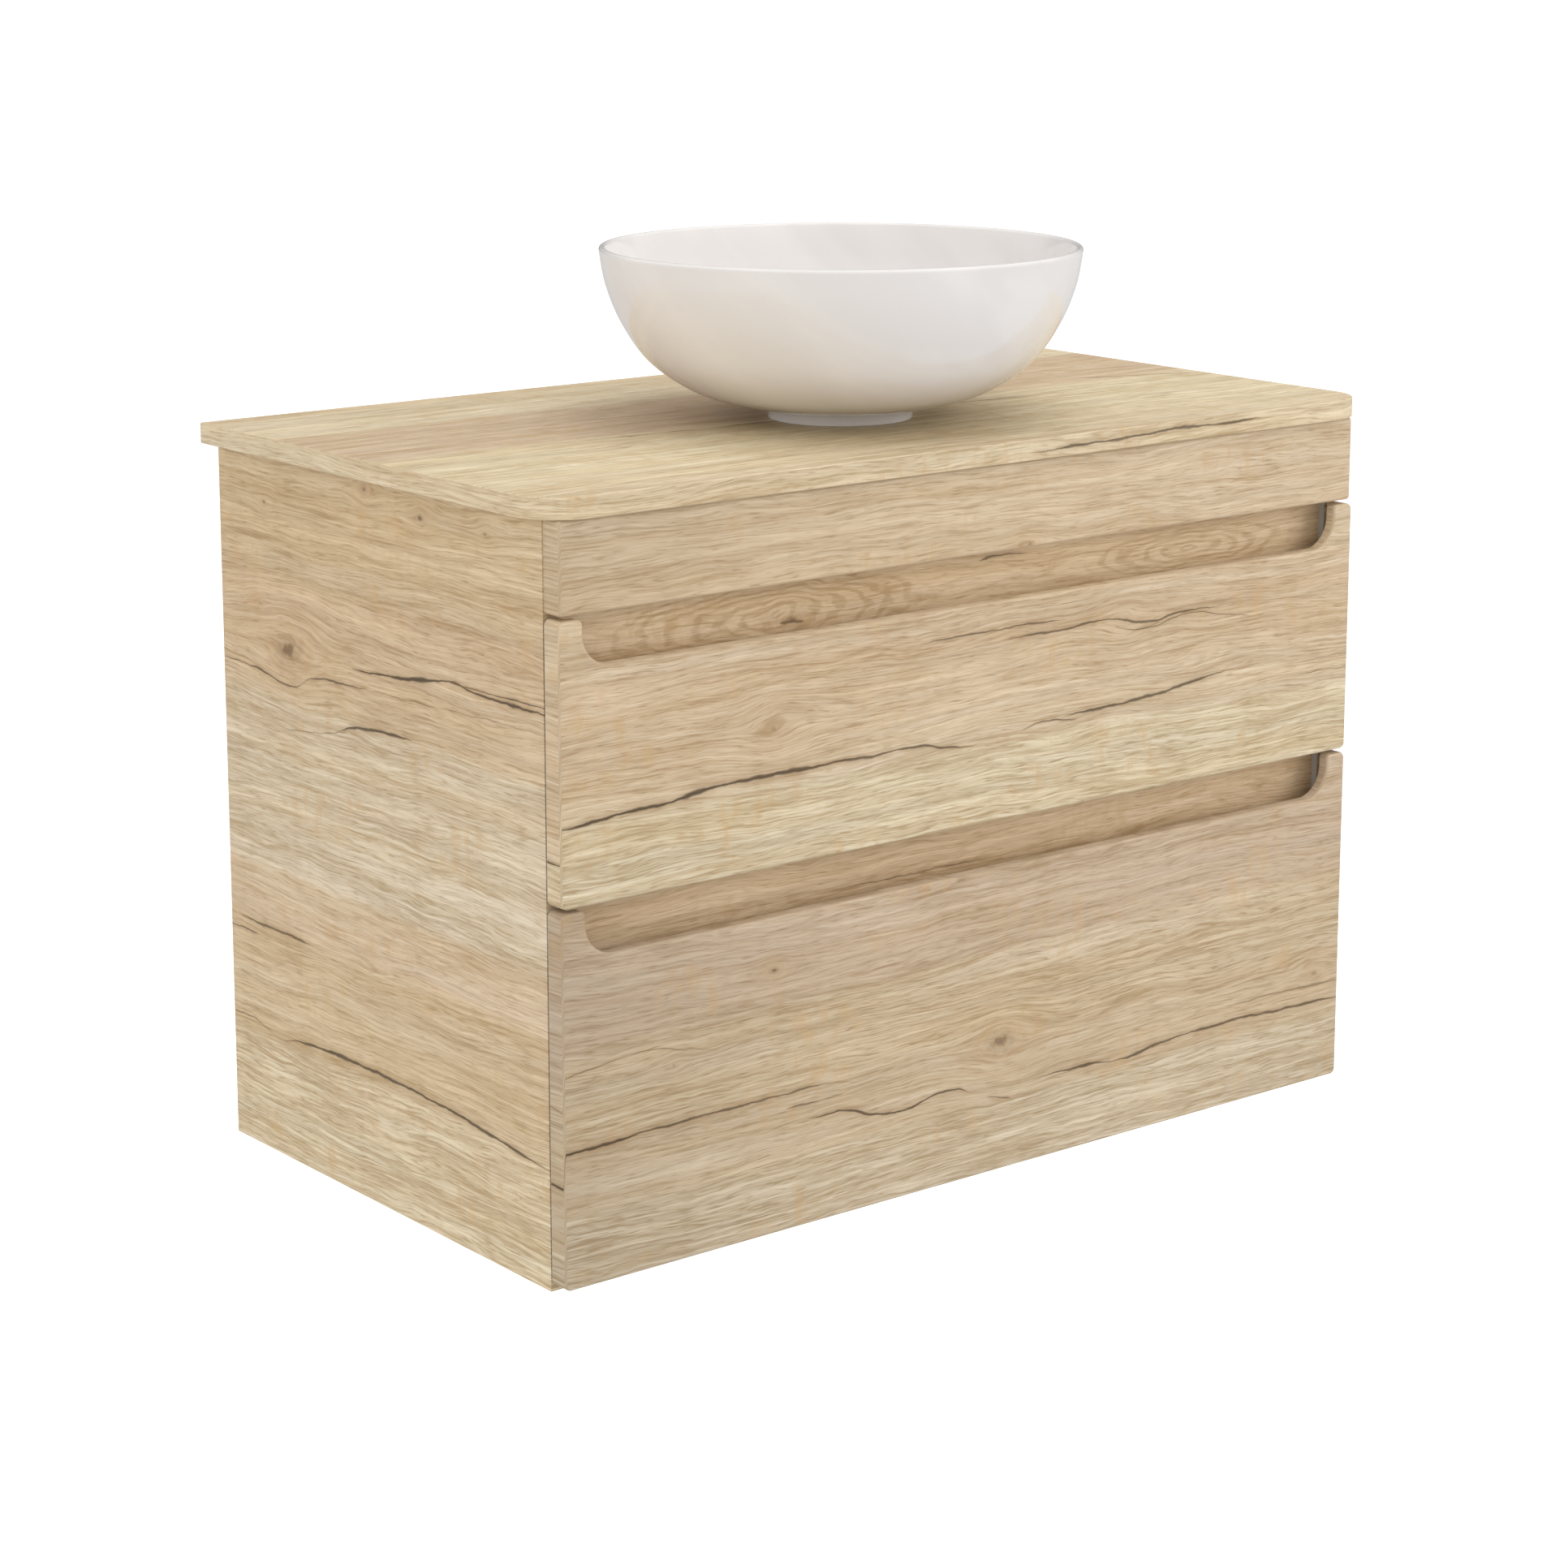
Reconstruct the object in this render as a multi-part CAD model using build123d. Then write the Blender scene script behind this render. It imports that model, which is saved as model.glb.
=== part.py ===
from build123d import *
from itertools import product
import os

# A wall-hung bathroom vanity: a two-drawer cabinet, a worktop, a round vessel basin and its drain.
# Millimetres. X runs across, Y runs back into the wall (the wall is the plane Y = 0) and Z is up.
# The origin is the centre of the four wall-screw holes, which lies on the wall plane.

# Driving dimensions: levels are heights above the lower edge of the side panels.
CARCASS_W = 780.0
CARCASS_H = 556.0
CARCASS_D = 435.5
SIDE_T = 12.0
BOARD_T = 16.0
WALL_HOLES_H = 505.0
BASE = -WALL_HOLES_H

WORKTOP_W = 810.0
WORKTOP_D = 460.0
WORKTOP_T = 16.0
WORKTOP_CORNER_R = 39.0
WORKTOP_EDGE_R = 1.2

FRONT_T = 18.0
FRONT_GAP = 1.5
FRONT_FACE = CARCASS_D + FRONT_GAP + FRONT_T
FRONT_CORNER_R = 4.8
FRONT_EDGE_R = 2.5
LOWER_FRONT = (5.0, 280.0)
UPPER_FRONT = (283.0, 486.0)
FASCIA = (489.0, 556.0)
FASCIA_INSET = 1.0

SLOT_TAB_W = 20.0
SLOT_DEPTH = 34.0
SLOT_R = 24.0
SLOT_TAB_R = 4.0
LIP_DEPTH = 9.0
REBATE = 10.0

RAIL_SETBACK = 25.0
UPPER_RAIL = (430.0, 500.0)
LOWER_RAIL = (224.0, 294.0)

INNER_HALF = CARCASS_W / 2 - SIDE_T
RUNNER_T = 13.0
BOX_HALF = INNER_HALF - RUNNER_T
BOX_T = 12.0
BOX_REAR = 47.0
BOX_FRONT = CARCASS_D + FRONT_GAP
BOTTOM_T = 8.0
GROOVE = 6.0
UPPER_BOX = (302.0, 424.0)
LOWER_BOX = (30.0, 218.0)
RECESS_HALF = 100.0
RECESS_FRONT = 344.0
RECESS_T = 8.0

BASIN_Y = -279.0
BASIN_R = 186.0
BASIN_H = 133.0
BASIN_RIM_T = 5.0
FOOT_R = 56.5
FOOT_H = 10.0
DRAIN_R = 22.5
TOP = CARCASS_H + WORKTOP_T

NODES = {}


def keep(name, shape):
    """Files one sub-part under its node name."""
    NODES[name] = shape


def block(x, y, z):
    """A box from three (low, high) pairs; z is a pair of heights above the cabinet's lower edge."""
    size = (x[1] - x[0], y[1] - y[0], z[1] - z[0])
    middle = ((x[0] + x[1]) / 2, (y[0] + y[1]) / 2, BASE + (z[0] + z[1]) / 2)
    return Pos(*middle) * Box(*size)


def mirrored(low, high, side):
    """The x range low..high on the right (side = 1) or its mirror image on the left (side = -1)."""
    return (low, high) if side > 0 else (-high, -low)


def rod_x(x, y, height, radius):
    """A cylinder along X over the range x."""
    length = x[1] - x[0]
    return Pos((x[0] + x[1]) / 2, y, BASE + height) * Rot(0, 90, 0) * Cylinder(radius, length)


def rod_y(x, y, height, radius):
    """A cylinder along Y over the range y."""
    length = y[1] - y[0]
    return Pos(x, (y[0] + y[1]) / 2, BASE + height) * Rot(90, 0, 0) * Cylinder(radius, length)


def rod_z(x, y, heights, radius):
    """A cylinder along Z over the range heights."""
    length = heights[1] - heights[0]
    return Pos(x, y, BASE + (heights[0] + heights[1]) / 2) * Cylinder(radius, length)


def ring_z(heights, outer, inner, x=0.0, y=BASIN_Y):
    """A tube or ring standing on the drain's axis."""
    return rod_z(x, y, heights, outer) - rod_z(x, y, heights, inner)


def group(shapes):
    """Separate solids that share one node."""
    return Compound(children=[s for shape in shapes for s in shape.solids()])


# --- Joinery that the boards share: dowels and cam fittings into the side panels ---

DOWEL_R = 3.0
DOWEL_SIDE = 8.0
DOWEL_BOARD = 20.0
HOLE_PLAY = 0.05
DOWEL_PLACES = [
    (-400.0, 8.0), (-230.0, 8.0), (-60.0, 8.0),
    (-415.0, 548.0), (-375.0, 548.0),
    (-100.0, 548.0), (-60.0, 548.0),
    (-32.0, 467.0), (-32.0, 32.0), (-32.0, 80.0),
    (-422.0, 445.0), (-422.0, 485.0),
    (-422.0, 239.0), (-422.0, 279.0),
]

CAM_R = 7.5
CAM_H = 12.0
CAM_INSET = 34.0
CAM_BOLT_R = 3.0
CAM_PLACES = [(-320.0, 8.0, 1), (-140.0, 8.0, 1), (-395.0, 548.0, -1), (-80.0, 548.0, -1)]


def dowels(play=0.0):
    """Every dowel, or with play the holes that take them."""
    reach = (INNER_HALF - DOWEL_BOARD - play, INNER_HALF + DOWEL_SIDE + play)
    return [
        rod_x(mirrored(*reach, side), y, height, DOWEL_R + play)
        for side in (-1, 1)
        for y, height in DOWEL_PLACES
    ]


def cam_bolts(play=0.0):
    """The bolts that the cams draw in, or with play their holes."""
    reach = (INNER_HALF - CAM_INSET + CAM_R + play, INNER_HALF + DOWEL_SIDE + play)
    if play:
        reach = (INNER_HALF - CAM_INSET, reach[1])
    return [
        rod_x(mirrored(*reach, side), y, height, CAM_BOLT_R + play)
        for side in (-1, 1)
        for y, height, _ in CAM_PLACES
    ]


def cam_discs(play=0.0):
    """The cams, let into a board's upper (up = 1) or lower (up = -1) face, or with play their pockets."""
    discs = []
    for side in (-1, 1):
        for y, height, up in CAM_PLACES:
            face = height + up * BOARD_T / 2
            ends = sorted((face, face - up * (CAM_H + play)))
            discs.append(rod_z(side * (INNER_HALF - CAM_INSET), y, ends, CAM_R + play))
    return discs


JOINERY_HOLES = dowels(HOLE_PLAY) + cam_bolts(HOLE_PLAY) + cam_discs(HOLE_PLAY)


def drilled(board):
    """A board with every dowel and cam hole that reaches it."""
    return board - JOINERY_HOLES


# --- Screws: one pan or countersunk head and one plain shank each ---

SCREW_HEAD_R = 4.0
SCREW_HEAD_T = 2.4
SCREW_R = 1.9
SCREW_PLAY = 0.1


def screw_y(x, y, height, length, play=0.0):
    """A screw driven towards -Y with its head's outer face at y."""
    head = rod_y(x, (y - SCREW_HEAD_T, y + play), height, SCREW_HEAD_R + play)
    return head + rod_y(x, (y - length - play, y - SCREW_HEAD_T), height, SCREW_R + play)


def screw_up(x, y, height, length, play=0.0):
    """A screw driven upwards with its head's outer face at height."""
    head = rod_z(x, y, (height - play, height + SCREW_HEAD_T), SCREW_HEAD_R + play)
    return head + rod_z(x, y, (height + SCREW_HEAD_T, height + length + play), SCREW_R + play)


WORKTOP_SCREW_PLACES = [(x, y) for x in (-250.0, 250.0) for y in (-395.0, -80.0)]
CORNER_BLOCK_X = (-300.0, 0.0, 300.0)
CORNER_BLOCK = 16.0


def worktop_screws(play=0.0):
    return [screw_up(x, y, CARCASS_H - BOARD_T, 26.0, play) for x, y in WORKTOP_SCREW_PLACES]


def fascia_screws(play=0.0):
    back = -CARCASS_D + CORNER_BLOCK
    height = CARCASS_H - BOARD_T - CORNER_BLOCK / 2
    return [screw_y(x, back, height, 27.0, play) for x in CORNER_BLOCK_X]


# --- Carcass ---


def side_panel(side):
    panel = block(mirrored(INNER_HALF, CARCASS_W / 2, side), (-CARCASS_D, 0), (0, CARCASS_H))
    return drilled(panel) - runner_screws("outer", SCREW_PLAY)


def carcass_boards():
    across = (-INNER_HALF, INNER_HALF)
    rear_y = (-40.0, -24.0)
    stretcher_h = (CARCASS_H - BOARD_T, CARCASS_H)
    rail_y = (-FRONT_FACE + RAIL_SETBACK, -FRONT_FACE + RAIL_SETBACK + BOARD_T)
    notches = [block(mirrored(HANGER_X[0] - 2, INNER_HALF, s), rear_y, (478, CARCASS_H)) for s in (-1, 1)]
    top_holes = worktop_screws(SCREW_PLAY)
    keep("bottom_panel", drilled(block(across, (-CARCASS_D, rear_y[1]), (0, BOARD_T))))
    keep("rear_rail_top", drilled(block(across, rear_y, (456, CARCASS_H))) - notches)
    keep("rear_rail_bottom", drilled(block(across, rear_y, (BOARD_T, 96))))
    keep("top_stretcher_front", drilled(block(across, (-CARCASS_D, -355), stretcher_h)) - top_holes)
    keep("top_stretcher_rear", drilled(block(across, (-120, rear_y[0]), stretcher_h)) - top_holes)
    keep("upper_finger_rail", drilled(block(across, rail_y, UPPER_RAIL)))
    keep("lower_finger_rail", drilled(block(across, rail_y, LOWER_RAIL)))


def fascia():
    """The fixed strip under the worktop, with softened edges like the drawer fronts."""
    half = CARCASS_W / 2 - FASCIA_INSET
    height = FASCIA[1] - FASCIA[0]
    board = extrude(RectangleRounded(2 * half, height, 3.0), FRONT_T)
    board = Rot(90, 0, 0) * board
    board = Pos(0, -CARCASS_D, BASE + (FASCIA[0] + FASCIA[1]) / 2) * board
    board = fillet(board.faces().sort_by(Axis.Y)[0].edges(), FRONT_EDGE_R)
    return board - fascia_screws(SCREW_PLAY)


def corner_blocks():
    half = 15.0
    top = CARCASS_H - BOARD_T
    blocks = [
        block((x - half, x + half), (-CARCASS_D, -CARCASS_D + CORNER_BLOCK), (top - CORNER_BLOCK, top))
        for x in CORNER_BLOCK_X
    ]
    return group([b - fascia_screws(SCREW_PLAY) for b in blocks])


def worktop():
    """The top board, square at the wall and rounded at its two front corners."""
    sheet = Rectangle(WORKTOP_W, WORKTOP_D)
    front = sheet.vertices().group_by(Axis.Y)[0]
    sheet = fillet(front, WORKTOP_CORNER_R)
    board = Pos(0, -WORKTOP_D / 2, BASE + CARCASS_H) * extrude(sheet, WORKTOP_T)
    faces = board.faces().sort_by(Axis.Z)
    soft = [e for e in faces[0].edges() + faces[-1].edges() if e.center().Y < -1.0]
    board = fillet(soft, WORKTOP_EDGE_R)
    return board - rod_z(0, BASIN_Y, (CARCASS_H, TOP), DRAIN_R) - worktop_screws(SCREW_PLAY)


# --- Wall fixing ---

HANGER_X = (364.0, 378.0)
HOLE_X = 350.0
HOLE_SPACING_Z = 40.0
WALL_HOLE_R = 3.25
PLATE_T = 2.5


def hanger(side):
    """A cabinet hanger on a side panel, with the hook that drops over the wall plate's lip."""
    x = mirrored(*HANGER_X, side)
    hook_x = mirrored(HANGER_X[0], HANGER_X[1] - 2.0, side)
    body = block(x, (-62, -14), (480, 538))
    arm = block(hook_x, (-14, -3.5), (514, 522))
    tip = block(hook_x, (-6.5, -3.5), (502, 514))
    adjusters = [rod_y((x[0] + x[1]) / 2, (-65, -62), h, 4.0) for h in (495, 523)]
    return body + arm + tip + adjusters


def wall_plate(side):
    """A pressed plate that is screwed to the wall, with an upturned lip for the hook."""
    plate = block(mirrored(336, 376, side), (-PLATE_T, 0), (470, 540))
    ledge = block(mirrored(362, 376, side), (-10, -PLATE_T), (496, 498.5))
    lip = block(mirrored(362, 376, side), (-10, -7.5), (498.5, 514))
    spacing = (-HOLE_SPACING_Z / 2, HOLE_SPACING_Z / 2)
    holes = [rod_y(side * HOLE_X, (-PLATE_T - 1, 1), WALL_HOLES_H + dz, WALL_HOLE_R) for dz in spacing]
    return plate + ledge + lip - holes


# --- Runners: three nested members on each side of a drawer. e is the distance in from the side panel ---

RUNNER_MID = {"upper": 352.0, "lower": 105.0}
MEMBER_T = 1.2
OUTER_HALF = 22.5
MIDDLE_HALF = 18.1
INNER_HALF_H = 13.7
OUTER_Y = (-432.0, -47.0)
MIDDLE_Y = (-425.0, -75.0)
BALL_R = 1.3
BALL_COUNT = 7
RUNNER_HEAD_R = 3.2
RUNNER_SHANK_R = 1.7
INNER_WEB = (11.8, RUNNER_T)
# For each member: where its screws' heads start and end and where their tips are, as distances in from
# the side panel, and the screws' places along the runner.
RUNNER_SCREWS = {
    "outer": (MEMBER_T, MEMBER_T + 1.3, -9.0, (-400.0, -240.0, -80.0)),
    "inner": (INNER_WEB[0], INNER_WEB[0] - 1.3, 22.0, (-410.0, -250.0, -90.0)),
}


def inward(reach, side):
    """The x range that lies between two distances in from a side panel."""
    return mirrored(INNER_HALF - reach[1], INNER_HALF - reach[0], side)


def channel(side, height, web, flange, half, y):
    """A C-shaped member: web and flange are its (low, high) distances in from the side panel."""
    section = block(inward(web, side), y, (height - half, height + half))
    for sign in (-1, 1):
        edge = sorted((height + sign * half, height + sign * (half - MEMBER_T)))
        section += block(inward(flange, side), y, edge)
    return section


def runner_screws(member, play=0.0):
    """The screws of the "outer" or the "inner" members, or with play the holes for their shanks."""
    inset, head_end, tip, places = RUNNER_SCREWS[member]
    screws = []
    for side, mid, y in product((-1, 1), RUNNER_MID.values(), places):
        shank = mirrored(*sorted((INNER_HALF - inset, INNER_HALF - tip)), side)
        if play:
            screws.append(rod_x((shank[0] - play, shank[1] + play), y, mid, RUNNER_SHANK_R + play))
            continue
        head = mirrored(*sorted((INNER_HALF - inset, INNER_HALF - head_end)), side)
        screws.append(rod_x(head, y, mid, RUNNER_HEAD_R) + rod_x(shank, y, mid, RUNNER_SHANK_R))
    return screws


def runner_members(drawer):
    """The outer, middle and inner members and the ball cages of one drawer's pair of runners."""
    mid = RUNNER_MID[drawer]
    sides = (-1, 1)
    outer = [channel(s, mid, (0, MEMBER_T), (MEMBER_T, 11.0), OUTER_HALF, OUTER_Y) for s in sides]
    middle = [channel(s, mid, (4.0, 5.2), (5.2, 10.8), MIDDLE_HALF, MIDDLE_Y) for s in sides]
    inner = [channel(s, mid, INNER_WEB, (6.5, INNER_WEB[0]), INNER_HALF_H, OUTER_Y) for s in sides]
    keep(f"{drawer}_runner_outer", group([m - runner_screws("outer", SCREW_PLAY) for m in outer]))
    keep(f"{drawer}_runner_middle", group(middle))
    keep(f"{drawer}_runner_inner", group([m - runner_screws("inner", SCREW_PLAY) for m in inner]))
    keep(f"{drawer}_ball_cages", group(ball_cages(mid)))


def ball_cages(mid):
    """Strips of balls: outside the middle member towards its rear, and inside it towards its front."""
    outside = (OUTER_HALF - MEMBER_T + MIDDLE_HALF) / 2
    inside = (MIDDLE_HALF - MEMBER_T + INNER_HALF_H) / 2
    x = INNER_HALF - 8.5
    cages = []
    for side, sign in product((-1, 1), (-1, 1)):
        for offset, y in ((outside, (-240.0, -90.0)), (inside, (-420.0, -270.0))):
            height = mid + sign * offset
            step = (y[1] - y[0]) / BALL_COUNT
            strip = block(mirrored(x - 1.8, x + 1.8, side), y, (height - 0.5, height + 0.5))
            centres = [(side * x, y[0] + step * (i + 0.5), BASE + height) for i in range(BALL_COUNT)]
            cages.append(strip + [Pos(*centre) * Sphere(BALL_R) for centre in centres])
    return cages


# --- Drawers ---


def slot_outline(top, grow):
    """The finger slot in the plane of a front: open at the top, rounded lower corners."""
    half = CARCASS_W / 2 - SLOT_TAB_W + grow
    floor = top - SLOT_DEPTH - grow
    height = 2 * (top + 30 - floor)
    return Pos(0, floor + height / 2) * RectangleRounded(2 * half, height, SLOT_R + grow)


def drawer_front(levels):
    """A wrapped front: finger slot in its top edge, a lip on the slot, softened corners and edges."""
    low, top = levels
    sheet = Pos(0, (low + top) / 2) * RectangleRounded(CARCASS_W, top - low, FRONT_CORNER_R)
    sheet -= slot_outline(top, 0)
    tab_x = CARCASS_W / 2 - SLOT_TAB_W
    corners = [v for v in sheet.vertices() if abs(abs(v.X) - tab_x) < 0.01 and abs(v.Y - top) < 0.01]
    sheet = fillet(corners, SLOT_TAB_R)
    board = extrude(sheet, FRONT_T)
    board = fillet(board.faces().sort_by(Axis.Z)[-1].edges(), FRONT_EDGE_R)
    board -= extrude(slot_outline(top, REBATE), FRONT_T - LIP_DEPTH)
    board = Pos(0, -BOX_FRONT, BASE) * Rot(90, 0, 0) * board
    return board - front_screws(levels, SCREW_PLAY)


def front_screws(levels, play=0.0):
    """The screws that hold the front to the inner front."""
    box = UPPER_BOX if levels == UPPER_FRONT else LOWER_BOX
    heights = (box[0] + 35.0, box[1] - 25.0)
    return [
        screw_y(x, -BOX_FRONT + BOX_T, h, 23.0, play) for x in (-300.0, -100.0, 100.0, 300.0) for h in heights
    ]


def bumpers(levels):
    """Soft discs on the back of the front that meet the side panels' edges."""
    heights = (levels[0] + 20.0, levels[1] - 20.0)
    y = (-BOX_FRONT, -BOX_FRONT + 1.2)
    return group([rod_y(s * 385.2, y, h, 3.5) for s in (-1, 1) for h in heights])


def bottom_groove(box):
    """The groove that takes the drawer's bottom, as one slab."""
    reach = BOX_HALF - BOX_T + GROOVE
    y = (-BOX_FRONT + BOX_T - GROOVE, -BOX_REAR)
    return block((-reach, reach), y, (box[0] + 8.0, box[0] + 8.0 + BOTTOM_T))


def drawer_box(drawer, levels, box):
    """Everything that slides with one drawer, apart from its runner members."""
    inner = BOX_HALF - BOX_T
    y_side = (-BOX_FRONT, -BOX_REAR)
    y_inner_front = (-BOX_FRONT, -BOX_FRONT + BOX_T)
    y_back = (-BOX_REAR - BOX_T, -BOX_REAR)
    floor_top = box[0] + 8.0 + BOTTOM_T
    groove = bottom_groove(box)
    keep(f"{drawer}_drawer_front", drawer_front(levels))
    inner_front = block((-inner, inner), y_inner_front, box)
    keep(f"{drawer}_drawer_inner_front", inner_front - groove - front_screws(levels, SCREW_PLAY))
    for side, word in ((-1, "left"), (1, "right")):
        wall = block(mirrored(inner, BOX_HALF, side), y_side, box)
        keep(f"{drawer}_drawer_side_{word}", wall - groove - runner_screws("inner", SCREW_PLAY))
    screws = [s for s in runner_screws("inner") if box[0] < s.center().Z - BASE < box[1]]
    keep(f"{drawer}_drawer_screws", group(screws + front_screws(levels)))
    keep(f"{drawer}_drawer_bumpers", bumpers(levels))
    if drawer == "lower":
        keep("lower_drawer_bottom", groove)
        keep("lower_drawer_back", block((-inner, inner), y_back, (floor_top, box[1])))
        return
    recess = block((-RECESS_HALF, RECESS_HALF), (-RECESS_FRONT, 0), (box[0], box[1]))
    keep("upper_drawer_bottom", groove - recess)
    wall_x = RECESS_HALF + RECESS_T
    for side, word in ((-1, "left"), (1, "right")):
        keep(f"upper_drawer_back_{word}", block(mirrored(wall_x, inner, side), y_back, (floor_top, box[1])))
    liner = block((-wall_x, wall_x), (-RECESS_FRONT - RECESS_T, -BOX_REAR), (floor_top, box[1]))
    keep("upper_siphon_recess", liner - recess)


# --- Basin ---


def basin_bowl():
    """A round bowl on a ring foot, revolved about the drain's axis. Heights are above the worktop."""
    rim_r = BASIN_RIM_T / 2
    rim_low = BASIN_H - rim_r
    outside = [
        (BASIN_R, rim_low), (181.1, 104.0), (169.4, 75.0), (149.2, 46.0), (118.0, 24.0), (85.0, 13.0),
    ]
    inside = [
        (BASIN_R - BASIN_RIM_T, rim_low), (175.4, 104.0), (162.6, 75.5), (140.0, 48.0), (106.0, 29.0),
        (64.0, 20.6),
    ]
    outer = Spline(*outside, (FOOT_R, FOOT_H), tangents=((-0.03, -1.0), (-1.0, -0.12)))
    inner = Spline(*inside, (33.0, 19.0), tangents=((-0.04, -1.0), (-1.0, 0.0)))
    rim_arc = ThreePointArc(inside[0], (BASIN_R - rim_r, BASIN_H), outside[0])
    foot = Polyline(
        (FOOT_R, FOOT_H), (FOOT_R, 0.6), (FOOT_R - 0.6, 0), (55.0, 0), (55.0, 1.0),
        (47.0, 1.0), (47.0, 0), (46.0, 0), (44.0, 6.0), (DRAIN_R, 6.0), (DRAIN_R, 17.0),
        (31.8, 17.0), (33.0, 19.0),
    )
    profile = make_face([outer, foot, inner, rim_arc])
    bowl = revolve(Plane.XZ * profile, Axis.Z)
    return Pos(0, BASIN_Y, BASE + TOP) * bowl


# --- Waste and trap, all on the drain's axis ---

SEAT = TOP + 17.0
WASTE_R = 21.0
WASTE_BORE = 17.0
STEM_R = 4.0
STEM_PLAY = 0.08
PIPE_R = 16.0
PIPE_BORE = 14.5
OUTLET_H = 424.0
SOCKET_LENGTH = 40.0


def waste_parts():
    flange = ring_z((SEAT + 1, SEAT + 3.6), 31.0, WASTE_BORE)
    flange = fillet(flange.edges().group_by(Axis.Z)[-1].sort_by(SortBy.RADIUS)[-1], 1.2)
    tube = ring_z((480, SEAT + 1), WASTE_R, WASTE_BORE)
    hub = rod_z(0, BASIN_Y, (558, 568), 7.0)
    middle = Pos(0, BASIN_Y, BASE + 563)
    spokes = [middle * Rot(0, 0, turn) * Box(2 * WASTE_BORE + 1, 2.0, 8.0) for turn in (0, 60, 120)]
    guide = rod_z(0, BASIN_Y, (550, 575), STEM_R + STEM_PLAY)
    keep("waste_body", flange + tube + hub + spokes - guide)
    keep("waste_gasket", ring_z((SEAT, SEAT + 1), 30.5, DRAIN_R - 1.4))
    keep("waste_washer", ring_z((CARCASS_H - 3, CARCASS_H), 33.0, WASTE_R + 0.1))
    nut = extrude(RegularPolygon(30.0, 6), 9.0)
    nut = Pos(0, BASIN_Y, BASE + CARCASS_H - 12) * nut
    keep("waste_nut", nut - rod_z(0, BASIN_Y, (500, TOP), WASTE_R + 0.1))
    cap = rod_z(0, BASIN_Y, (SEAT + 4.6, SEAT + 8.6), 29.0)
    cap = fillet(cap.edges().group_by(Axis.Z)[-1], 2.5)
    keep("waste_cap", cap + rod_z(0, BASIN_Y, (550, SEAT + 4.6), STEM_R))
    keep("basin_seal", ring_z((TOP, TOP + 1), 54.9, 47.1))


def trap_head():
    """The trap's upper body: a short drum with a collar on top and a stub towards the wall."""
    shell = rod_z(0, BASIN_Y, (394, 446), 28.0)
    shell += rod_z(0, BASIN_Y, (446, 458), 20.0)
    shell += rod_y(0, (BASIN_Y, BASIN_Y + 62), OUTLET_H, 19.0)
    hollow = rod_z(0, BASIN_Y, (394, 442), 25.0)
    hollow += rod_z(0, BASIN_Y, (442, 458), PIPE_R + 0.1)
    hollow += rod_y(0, (BASIN_Y, BASIN_Y + 62), OUTLET_H, PIPE_R + 0.1)
    return shell - hollow


def trap_nuts():
    """Three ribbed compression nuts: under the waste, on the head's collar and on its outlet."""
    top = ring_z((474, 492), 27.0, WASTE_R + 0.1) + ring_z((470, 474), 27.0, PIPE_R + 0.1)
    neck = ring_z((448, 458), 26.0, 20.1) + ring_z((458, 463), 26.0, PIPE_R + 0.1)
    y = (BASIN_Y + 46, BASIN_Y + 62, BASIN_Y + 67)
    outlet = rod_y(0, (y[0], y[1]), OUTLET_H, 25.0) - rod_y(0, (y[0], y[1]), OUTLET_H, 19.1)
    outlet += rod_y(0, (y[1], y[2]), OUTLET_H, 25.0) - rod_y(0, (y[1], y[2]), OUTLET_H, PIPE_R + 0.1)
    return group([top, neck, outlet])


def trap_parts():
    keep("trap_tailpiece", ring_z((360, 500), PIPE_R, PIPE_BORE))
    keep("trap_nuts", trap_nuts())
    keep("trap_head", trap_head())
    keep("trap_union_nut", ring_z((384, 403), 34.0, 28.1))
    bottle = rod_z(0, BASIN_Y, (334, 394), 28.0) - rod_z(0, BASIN_Y, (338, 394), 25.0)
    keep("trap_bottle", bottle + rod_z(0, BASIN_Y, (328, 334), 18.0))
    pipe = rod_y(0, (BASIN_Y + 40, 0), OUTLET_H, PIPE_R)
    stop_bead = rod_y(0, (-SOCKET_LENGTH - 3.0, -SOCKET_LENGTH), OUTLET_H, PIPE_R + 1.5)
    keep("trap_outlet_pipe", pipe + stop_bead - rod_y(0, (BASIN_Y, 1), OUTLET_H, PIPE_BORE))


def build():
    for side, word in ((-1, "left"), (1, "right")):
        keep(f"side_panel_{word}", side_panel(side))
        keep(f"hanger_{word}", hanger(side))
    carcass_boards()
    keep("fascia", fascia())
    keep("fascia_corner_blocks", corner_blocks())
    keep("worktop", worktop())
    keep("carcass_dowels", group(dowels()))
    keep("cam_bolts", group(cam_bolts()))
    keep("cam_discs", group(cam_discs()))
    keep("carcass_screws", group(worktop_screws() + fascia_screws() + runner_screws("outer")))
    keep("wall_plates", group([wall_plate(-1), wall_plate(1)]))
    for drawer, levels, box in (("upper", UPPER_FRONT, UPPER_BOX), ("lower", LOWER_FRONT, LOWER_BOX)):
        drawer_box(drawer, levels, box)
        runner_members(drawer)
    keep("basin_bowl", basin_bowl())
    waste_parts()
    trap_parts()


build()
os.makedirs("parts", exist_ok=True)
for name, shape in NODES.items():
    export_step(shape, f"parts/{name}.step")
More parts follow.
